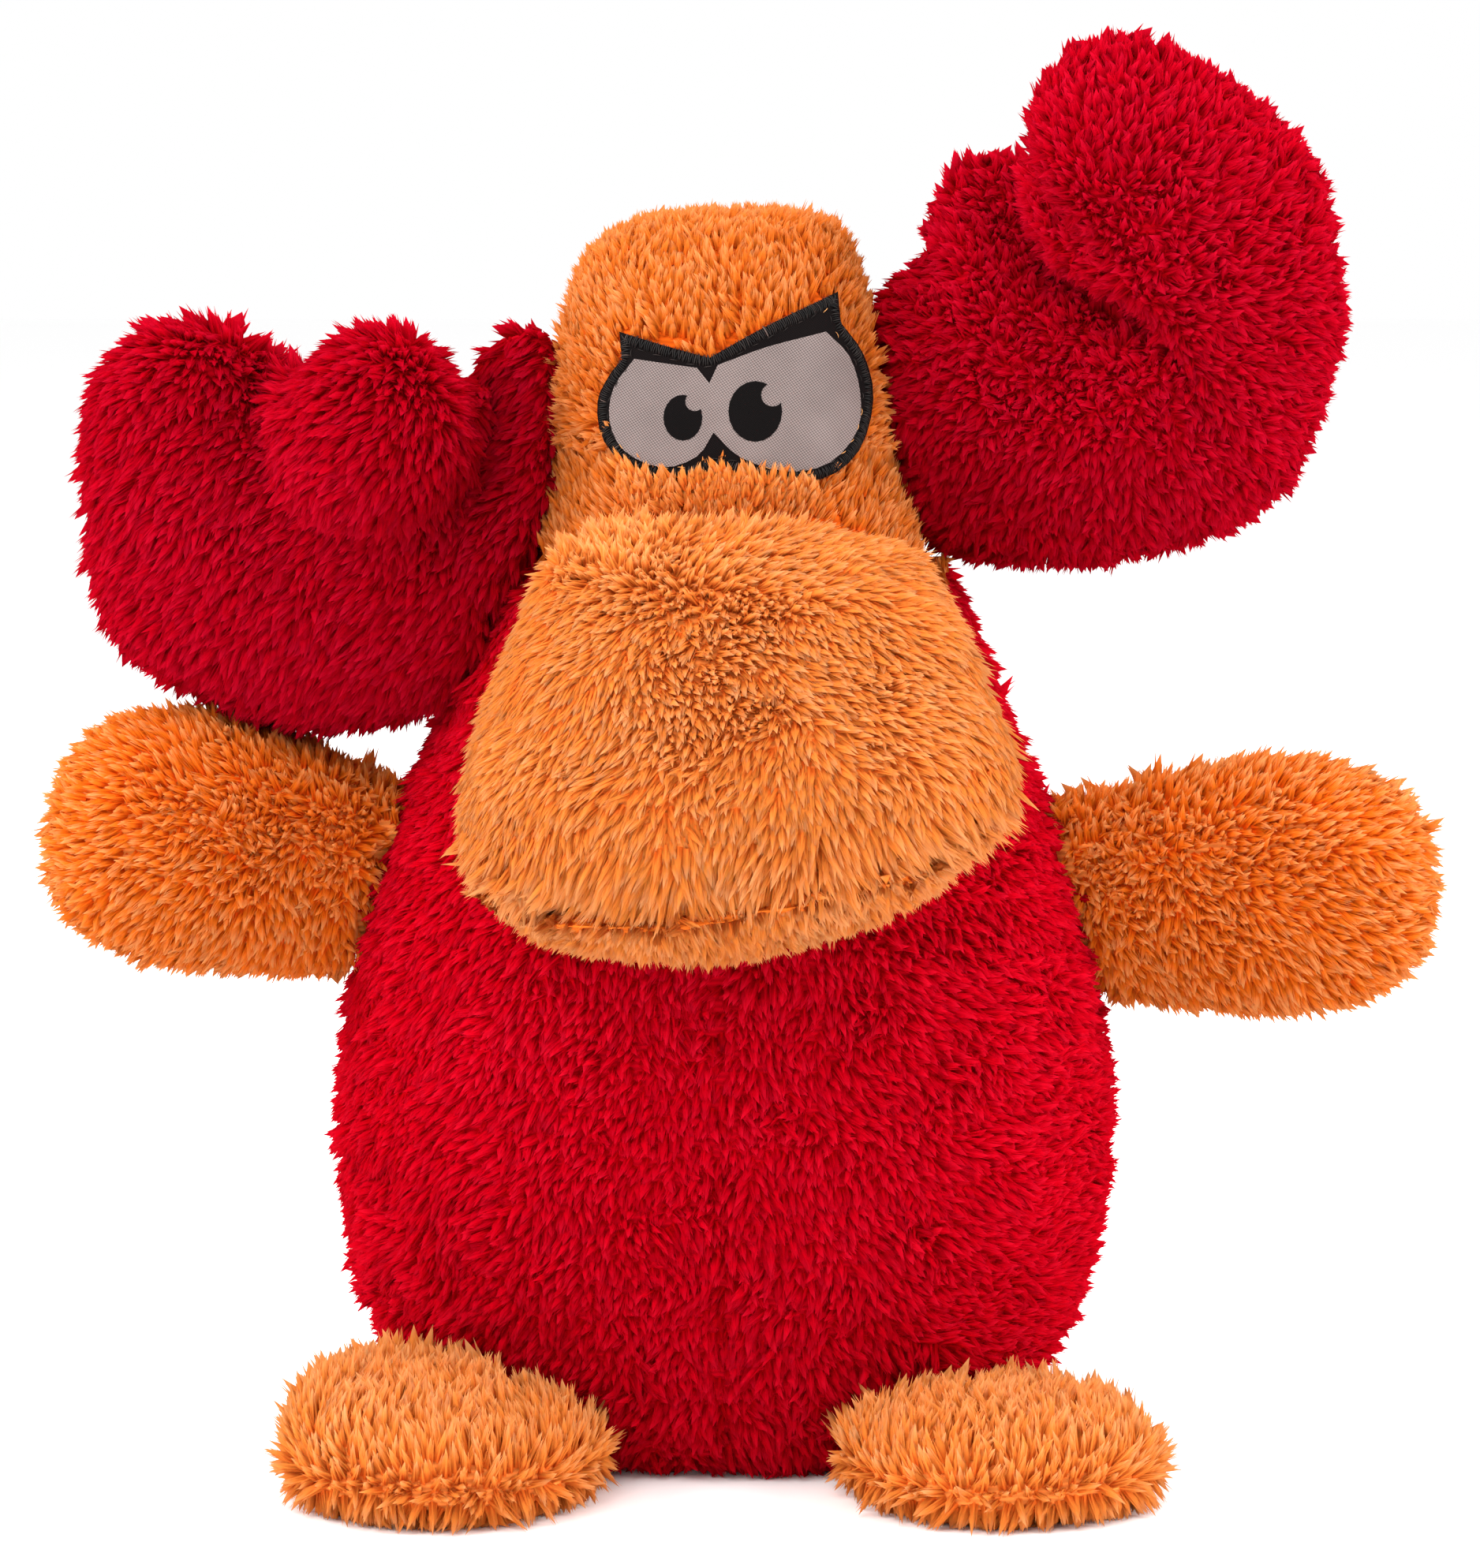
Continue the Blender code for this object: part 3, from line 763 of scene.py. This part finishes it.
def jaw_reach(places, normals):
    """Shorter pile on the lip's upper side, and shorter still at its corners."""
    corner = np.abs(places[:, 0] - lip_middle) > lip_corner
    return np.where(normals[:, 2] > 0.45, 0.75, np.where(corner, 0.6, 0.9))


def under_mouth(places, normals):
    return (places[:, 1] < -0.070) & (normals[:, 1] < 0.05)


pale_pile = pile_material("pale orange pile", **pale_orange, glowing=0.8)
pale_backing = backing_material("pale orange backing", pale_ground)
stuffed(
    "muzzle", pale_pile, pale_backing, muzzle_lock, muzzle_comb, muzzle_reach, seed=51, cell=0.004,
    open_at=over_mouth, hollow_at=inside_mouth,
)
# The lip's backing is darker than the muzzle's, as painted shade in the mouth's fold.
crease_shade_backing = backing_material("mouth crease shade backing", crease_shade_ground)
stuffed(
    "lower_jaw", pale_pile, crease_shade_backing, muzzle_lock, jaw_comb, jaw_reach, seed=61, cell=0.003,
    open_at=under_mouth, hollow_at=lambda places: places[:, 1] < -0.060,
)

# Arms
# Two mittens of bright orange pile, each of a front and a back panel sewn round the edge and stuffed. Their
# open ends are pressed against the torso's sides and sewn on.
arm_lock = {
    "length": 0.0048, "width": 0.0019, "spacing": 0.0012, "rise": 0.62, "scatter": 0.26, "swirl": 1.0,
    "whorl": 80.0,
}
# Root colour: painted shade among the locks. Pale tip colour: painted highlight.
bright_orange = {"shaded_root": (1.0, 0.11, 0.003), "middle": (1.0, 0.22, 0.010), "pale": (1.0, 0.54, 0.21)}
arms = {"right_arm": ((-0.098, 0.120), 71), "left_arm": ((0.103, 0.110), 81)}
arm_cell = 0.0038


def outwards(middle, level):
    """A comb that lies out towards the hand, and up and down from the arm's level."""

    def comb(places, normals):
        x, y, z = places.T
        out = 0.35 * np.sign(middle) + 9.0 * (x - middle)
        return np.column_stack((out, 0.0 * y, 16.0 * (z - level) - 0.12))

    return comb


def beside_torso(places, normals):
    return (np.abs(places[:, 0]) < 0.080) & (np.abs(normals[:, 0]) < 0.85)


bright_pile = pile_material("bright orange pile", **bright_orange, glowing=0.8)
for name, (middle, seed) in arms.items():
    stuffed(
        name, bright_pile, pale_backing, arm_lock, outwards(*middle), seed=seed, cell=arm_cell,
        touching=-0.6, open_at=beside_torso,
    )

# Feet
# Two oval pads of pale orange pile, each of an upper and a lower panel sewn together round the edge and
# stuffed. They are sewn under the torso's front, and the pile parts along their seam.
foot_lock = {
    "length": 0.0058, "width": 0.0020, "spacing": 0.0013, "rise": 0.75, "scatter": 0.24, "swirl": 0.9,
    "whorl": 80.0,
}
feet = {"right_foot": (0.0075, 91), "left_foot": (0.0068, 101)}
foot_cell = 0.0036
parting_spread = 0.0025


def parted(seam):
    """A comb that lies up above the seam and down below it."""

    def comb(places, normals):
        x, y, z = places.T
        return np.column_stack((0.0 * x, 0.0 * y, 0.75 * np.tanh((z - seam) / parting_spread)))

    return comb


for name, (seam, seed) in feet.items():
    stuffed(name, pale_pile, pale_backing, foot_lock, parted(seam), seed=seed, cell=foot_cell)

# Eye patch
# One woven badge with a black ground that follows the curve of the head. Its cut edge is overcast with
# thick black thread, and a line of long stitches inside that edge sews it on.
ground_thickness = 0.0006
overcast = {"inset": 0.0009, "half": 0.00115, "rise": 0.00050, "thread": 0.00024, "pitch": 0.00040}
sewing = {"inset": 0.0021, "half": 0.0008, "rise": 0.00035, "thread": 0.00014, "pitch": 0.0034}
ground_weave = {
    "dark": (0.002, 0.0012, 0.0012), "light": (0.006, 0.004, 0.004), "pitch": 0.00036, "roughness": 0.8,
    "specular": 0.05,
}
edge_thread = {
    "dark": (0.002, 0.0015, 0.0015), "light": (0.020, 0.014, 0.012), "few": (0.09, 0.06, 0.05),
    "few_share": 0.03,
}
stitch_thread = {
    "dark": (0.008, 0.005, 0.004), "light": (0.04, 0.028, 0.024), "few": (0.60, 0.28, 0.09),
    "few_share": 0.30,
}


def open_sheet(name):
    """The front face of one of the patch's CAD layers."""
    work = bmesh.new()
    work.from_mesh(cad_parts[name].data)
    bmesh.ops.remove_doubles(work, verts=work.verts, dist=1e-5)
    work.normal_update()
    bmesh.ops.delete(work, geom=[f for f in work.faces if f.normal.y > -0.4], context="FACES")
    return work


patch_middle, patch_half = (0.0025, 0.21), 0.03
patch_cell = 0.0012
patch_grid = ((Vector((1, 0, 0)), -0.03, 0.036), (Vector((0, 0, 1)), 0.185, 0.235))


def powers(x, z):
    """The products of powers of x and z, up to the fourth, that curve_of_head fits to the patch's front."""
    x, z = (x - patch_middle[0]) / patch_half, (z - patch_middle[1]) / patch_half
    return np.column_stack([x**i * z**j for i in range(5) for j in range(5 - i)])


def curve_of_head(names):
    """The smooth surface that runs through the front of the patch's layers, each at its own lift."""
    rows, depths = [], []
    for layer, name in enumerate(names):
        sheet = open_sheet(name)
        x, y, z = np.array([v.co[:] for v in sheet.verts]).T
        own = np.zeros((len(x), len(names) - 1))
        if layer:
            own[:, layer - 1] = 1.0
        rows.append(np.hstack((powers(x, z), own)))
        depths.append(y)
        sheet.free()
    found = np.linalg.lstsq(np.vstack(rows), np.concatenate(depths), rcond=None)[0]
    return found[: 1 - len(names)]


curve = curve_of_head(["eye_patch", "eye_whites", "right_pupil", "left_pupil"])


def laid(name, lift, thickness, material):
    """One layer of the patch, cut into small faces, laid on the head's curve and given its thickness."""
    sheet = open_sheet(name)
    for way, low, high in patch_grid:
        for place in np.arange(low, high, patch_cell):
            everything = sheet.verts[:] + sheet.edges[:] + sheet.faces[:]
            bmesh.ops.bisect_plane(sheet, geom=everything, plane_co=way * place, plane_no=way)
    for vert in sheet.verts:
        vert.co.y = float(powers(np.array([vert.co.x]), np.array([vert.co.z]))[0] @ curve) - lift
    front = sheet.faces[:]
    backed = bmesh.ops.extrude_face_region(sheet, geom=front, use_keep_orig=True)
    moved = [v for v in backed["geom"] if isinstance(v, bmesh.types.BMVert)]
    bmesh.ops.translate(sheet, verts=moved, vec=(0.0, thickness, 0.0))
    bmesh.ops.reverse_faces(sheet, faces=[f for f in backed["geom"] if isinstance(f, bmesh.types.BMFace)])
    mesh = bpy.data.meshes.new(name + "_weave")
    sheet.to_mesh(mesh)
    sheet.free()
    mesh.shade_flat()
    mesh.materials.append(material)
    piece = bpy.data.objects.new(name + "_weave", mesh)
    bpy.context.collection.objects.link(piece)
    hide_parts(name)
    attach(piece, "root")
    return piece


def weave_material(name, dark, light, pitch, roughness, specular):
    """A satin weave: short floats of thread in slanting rows."""
    material = bpy.data.materials.new(name)
    root, shader = dress(material)
    place = root.node("ShaderNodeTexCoord", out="Object")
    turn = 2.0 * math.pi / pitch
    across, up = place.part("X") * turn, place.part("Z") * turn
    rows = (across * 0.80 + up * 0.62).maths("SINE") * 0.5 + 0.5
    floats = (across * 0.50 - up * 0.90).maths("SINE") * 0.5 + 0.5
    thread = rows * 0.55 + floats * 0.45
    wear = root.node("ShaderNodeTexNoise", Vector=place, Scale=110.0, Detail=3.0)
    shade = thread + (wear - 0.5) * 0.35
    root.feed(shade.mix(dark, light), shader.inputs["Base Color"])
    ribs = root.node("ShaderNodeBump", Strength=0.5, Distance=0.00008, Height=thread)
    root.feed(ribs, shader.inputs["Normal"])
    shader.inputs["Roughness"].default_value = roughness
    shader.inputs["Specular IOR Level"].default_value = specular
    return material


def thread_mesh(name, half, rise, thread, across):
    """A short run of thread that arches out of the fabric and back. It runs along X, or along Y if across."""
    points, faces, sides = [], [], 4
    for step in range(5):
        share = 2.0 * step / 4.0 - 1.0
        reach, high = half * share, rise * (1.0 - share * share) - 0.15 * rise
        fat = 0.5 * thread * math.sqrt(max(1.0 - 0.9 * share**6, 0.0))
        for side in range(sides):
            turn = 2.0 * math.pi * side / sides
            aside, up = fat * math.cos(turn), high + fat * math.sin(turn)
            points.append((aside, reach, up) if across else (reach, -aside, up))
    for step in range(4):
        for side in range(sides):
            low, after = sides * step, (side + 1) % sides
            faces.append((low + side, low + sides + side, low + sides + after, low + after))
    faces += [tuple(range(sides)), tuple(reversed(range(4 * sides, 5 * sides)))]
    mesh = bpy.data.meshes.new(name)
    mesh.from_pydata(points, [], faces)
    mesh.shade_smooth()
    return bpy.data.objects.new(name, mesh)


def sewing_tree():
    """Geometry nodes that set a run of thread at each pitch along a path, facing as the path's points say."""
    inputs = {
        "Geometry": "Geometry", "Thread": "Object", "Fabric": "Material", "Pitch": "Float", "Loose": "Float",
        "Seed": "Int",
    }
    tree, root, given = empty_tree("sewing", inputs)
    path = root.node("GeometryNodeMeshToCurve", Mesh=given["Geometry"])
    spots = root.node("GeometryNodeResampleCurve", {"mode": "LENGTH"}, Curve=path, Length=given["Pitch"])
    out = root.node(
        "GeometryNodeInputNamedAttribute", {"data_type": "FLOAT_VECTOR"}, out="Attribute", Name="stand"
    )
    loose = root.node(
        "FunctionNodeRandomValue",
        {"data_type": "FLOAT_VECTOR"},
        Min=(-1.0, -1.0, -1.0),
        Max=(1.0, 1.0, 1.0),
        Seed=given["Seed"],
    )
    upright = root.node("FunctionNodeAlignRotationToVector", {"axis": "Z"}, Vector=out)
    turned = root.node(
        "FunctionNodeAlignRotationToVector",
        {"axis": "X", "pivot_axis": "Z"},
        Rotation=upright,
        Vector=root.node("GeometryNodeInputTangent") + loose * given["Loose"],
    )
    plain = {"data_type": "FLOAT"}
    size = root.node("FunctionNodeRandomValue", plain, Min=0.85, Max=1.15, Seed=given["Seed"] + 1)
    set_on = root.node(
        "GeometryNodeInstanceOnPoints",
        Points=spots,
        Instance=root.node("GeometryNodeObjectInfo", out="Geometry", Object=given["Thread"]),
        Rotation=turned,
        Scale=size,
    )
    told = root.node(
        "GeometryNodeStoreNamedAttribute",
        {"data_type": "FLOAT", "domain": "INSTANCE"},
        Geometry=set_on,
        Name="tint",
        Value=root.node("FunctionNodeRandomValue", plain, Min=0.0, Max=1.0, Seed=given["Seed"] + 2),
    )
    real = root.node("GeometryNodeRealizeInstances", Geometry=told)
    done = root.node("GeometryNodeSetMaterial", Geometry=real, Material=given["Fabric"])
    tree.links.new(done.socket, tree.nodes.new("NodeGroupOutput").inputs[0])
    return tree


rim_step = 0.0008


def rim_of_patch():
    """The (x, z) places round the patch's outline, a step apart."""
    sheet = open_sheet("eye_patch")
    first = next(edge for edge in sheet.edges if edge.is_boundary)
    edge, vert, loop = first, first.verts[0], []
    while not loop or vert is not first.verts[0]:
        loop.append((vert.co.x, vert.co.z))
        vert = edge.other_vert(vert)
        edge = next(other for other in vert.link_edges if other.is_boundary and other is not edge)
    sheet.free()
    loop = np.array(loop + loop[:1])
    run = np.concatenate(([0.0], np.cumsum(np.linalg.norm(np.diff(loop, axis=0), axis=1))))
    at = np.linspace(0.0, run[-1], int(run[-1] / rim_step), endpoint=False)
    return np.column_stack((np.interp(at, run, loop[:, 0]), np.interp(at, run, loop[:, 1])))


def sewn_round(name, rim, look, across, material, loose, seed):
    """A line of stitches round the patch, set in from its rim. look has their sizes."""
    for ease in range(2):
        rim = (np.roll(rim, 1, 0) + 2.0 * rim + np.roll(rim, -1, 0)) / 4.0
    way = np.roll(rim, -1, 0) - np.roll(rim, 1, 0)
    way /= np.linalg.norm(way, axis=1, keepdims=True)
    turns = np.sign(np.cross(rim, np.roll(rim, -1, 0)).sum())
    rim = rim + turns * look["inset"] * np.column_stack((-way[:, 1], way[:, 0]))
    for ease in range(4):
        rim = (np.roll(rim, 1, 0) + 2.0 * rim + np.roll(rim, -1, 0)) / 4.0
    x, z = rim.T
    depth = powers(x, z) @ curve
    tilt_x = (powers(x + 1e-4, z) @ curve - depth) / 1e-4
    tilt_z = (powers(x, z + 1e-4) @ curve - depth) / 1e-4
    line = bpy.data.meshes.new(name)
    count = len(rim)
    line.from_pydata(np.column_stack((x, depth, z)), [(i, (i + 1) % count) for i in range(count)], [])
    stand = np.column_stack((tilt_x, np.full(count, -1.0), tilt_z))
    line.attributes.new("stand", "FLOAT_VECTOR", "POINT").data.foreach_set("vector", stand.ravel())
    piece = bpy.data.objects.new(name, line)
    bpy.context.collection.objects.link(piece)
    thread = thread_mesh(name + " thread", look["half"], look["rise"], look["thread"], across)
    values = {"Thread": thread, "Fabric": material, "Pitch": look["pitch"], "Loose": loose, "Seed": seed}
    work_in(piece, stitching, values)
    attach(piece, "root")
    return piece


def thread_material(name, dark, light, few, few_share):
    """Spun thread. Most runs are near black and a few are undyed."""
    material = bpy.data.materials.new(name)
    root, shader = dress(material)
    place = root.node("ShaderNodeTexCoord", out="Object")
    tint = root.node("ShaderNodeAttribute", {"attribute_name": "tint"}, out="Fac")
    ply = root.node("ShaderNodeTexNoise", Vector=place, Scale=2600.0, Detail=2.0)
    dyed = (ply * 0.7 + tint * 0.5 - 0.2).between(0.1, 0.9).mix(dark, light)
    colour = tint.between(1.0 - few_share - 0.01, 1.0 - few_share + 0.01).mix(dyed, few)
    root.feed(colour, shader.inputs["Base Color"])
    root.feed(root.node("ShaderNodeBump", Strength=0.6, Distance=0.0001, Height=ply), shader.inputs["Normal"])
    shader.inputs["Roughness"].default_value = 0.6
    shader.inputs["Specular IOR Level"].default_value = 0.25
    return material


stitching = sewing_tree()
black_weave = weave_material("black weave", **ground_weave)
laid("eye_patch", 0.0, ground_thickness, black_weave)
rim = rim_of_patch()
black_thread = thread_material("black thread", **edge_thread)
mixed_thread = thread_material("sewing thread", **stitch_thread)
sewn_round("eye_patch_edge", rim, overcast, True, black_thread, 0.25, 111)
sewn_round("eye_patch_stitches", rim, sewing, False, mixed_thread, 0.2, 121)

# Pile over the patch
# Pile of the muzzle's paler orange, rooted in the fabric under the patch, as painted light where the head's
# pile lies in shade between the patch and the muzzle. Its fibres are long enough to lie up over the patch's
# lower edge, and they are shorter beside the middle.
brim_lock = {
    "length": 0.0036, "width": 0.0017, "spacing": 0.0010, "rise": 0.62, "scatter": 0.36, "swirl": 1.2,
    "whorl": 150.0,
}
brim_left, brim_right, brim_step = -0.0195, 0.0175, 0.001
brim_rows = (-0.0100, -0.0080, -0.0060, -0.0042, -0.0030, -0.0018, -0.0006, 0.0002)
brim_lift, brim_slope, brim_slope_from = 0.0002, 0.15, 0.0004
lower_half = 0.199
parting = {"middle": -0.002, "half": 0.004, "less": 0.35}

low_rim = rim[rim[:, 1] < lower_half]
low_rim = low_rim[np.argsort(low_rim[:, 0])]
across = np.arange(brim_left, brim_right, brim_step)
edge = np.interp(across, low_rim[:, 0], low_rim[:, 1])
points = []
for row in brim_rows:
    depth = powers(across, edge + row) @ curve
    lifted = depth - brim_lift - brim_slope * (row - brim_slope_from)
    points += np.column_stack((across, lifted, edge + row)).tolist()
count = len(across)
quads = [
    (count * row + i, count * row + i + 1, count * (row + 1) + i + 1, count * (row + 1) + i)
    for row in range(len(brim_rows) - 1)
    for i in range(count - 1)
]
brim = bpy.data.meshes.new("brim")
brim.from_pydata(points, [], quads)
every_x = np.tile(across, len(brim_rows))
lie = np.column_stack((6.0 * every_x, np.zeros(len(points)), np.full(len(points), 0.9)))
shorter = 1.0 - parting["less"] * np.exp(-(((every_x - parting["middle"]) / parting["half"]) ** 2))
comb_ground(brim, lie, np.ones(len(points)), shorter)
# The muzzle's paler pile here is painted light over the shade between the patch and the muzzle.
over_patch = grow_pile("head_brim_pile", brim, pale_pile, brim_lock, 1.0, 131)
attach(over_patch, "root")

# Eye whites
# Both eyes are one field of pale grey satin, of long floats of thread in slanting rows. It is woven into the
# same badge and stands a little above the black ground.
satin = {
    "dark": (0.055, 0.042, 0.040), "light": (0.250, 0.196, 0.184), "pitch": 0.00045, "roughness": 0.55,
    "specular": 0.10,
}
whites_lift = 0.00018
woven_thickness = 0.0004
laid("eye_whites", whites_lift, woven_thickness, weave_material("grey satin", **satin))

# Pupils
# A black oval in each eye, woven into the pale field with thick dark threads. The round bite in it, where
# the pale threads show, is the eye's glint.
pupil = {
    "dark": (0.002, 0.0015, 0.0015), "light": (0.005, 0.004, 0.004), "pitch": 0.00030, "roughness": 0.8,
    "specular": 0.04,
}
pupils_lift = 0.00026
pupil_weave = weave_material("pupil weave", **pupil)
for name in ("right_pupil", "left_pupil"):
    laid(name, pupils_lift, woven_thickness, pupil_weave)
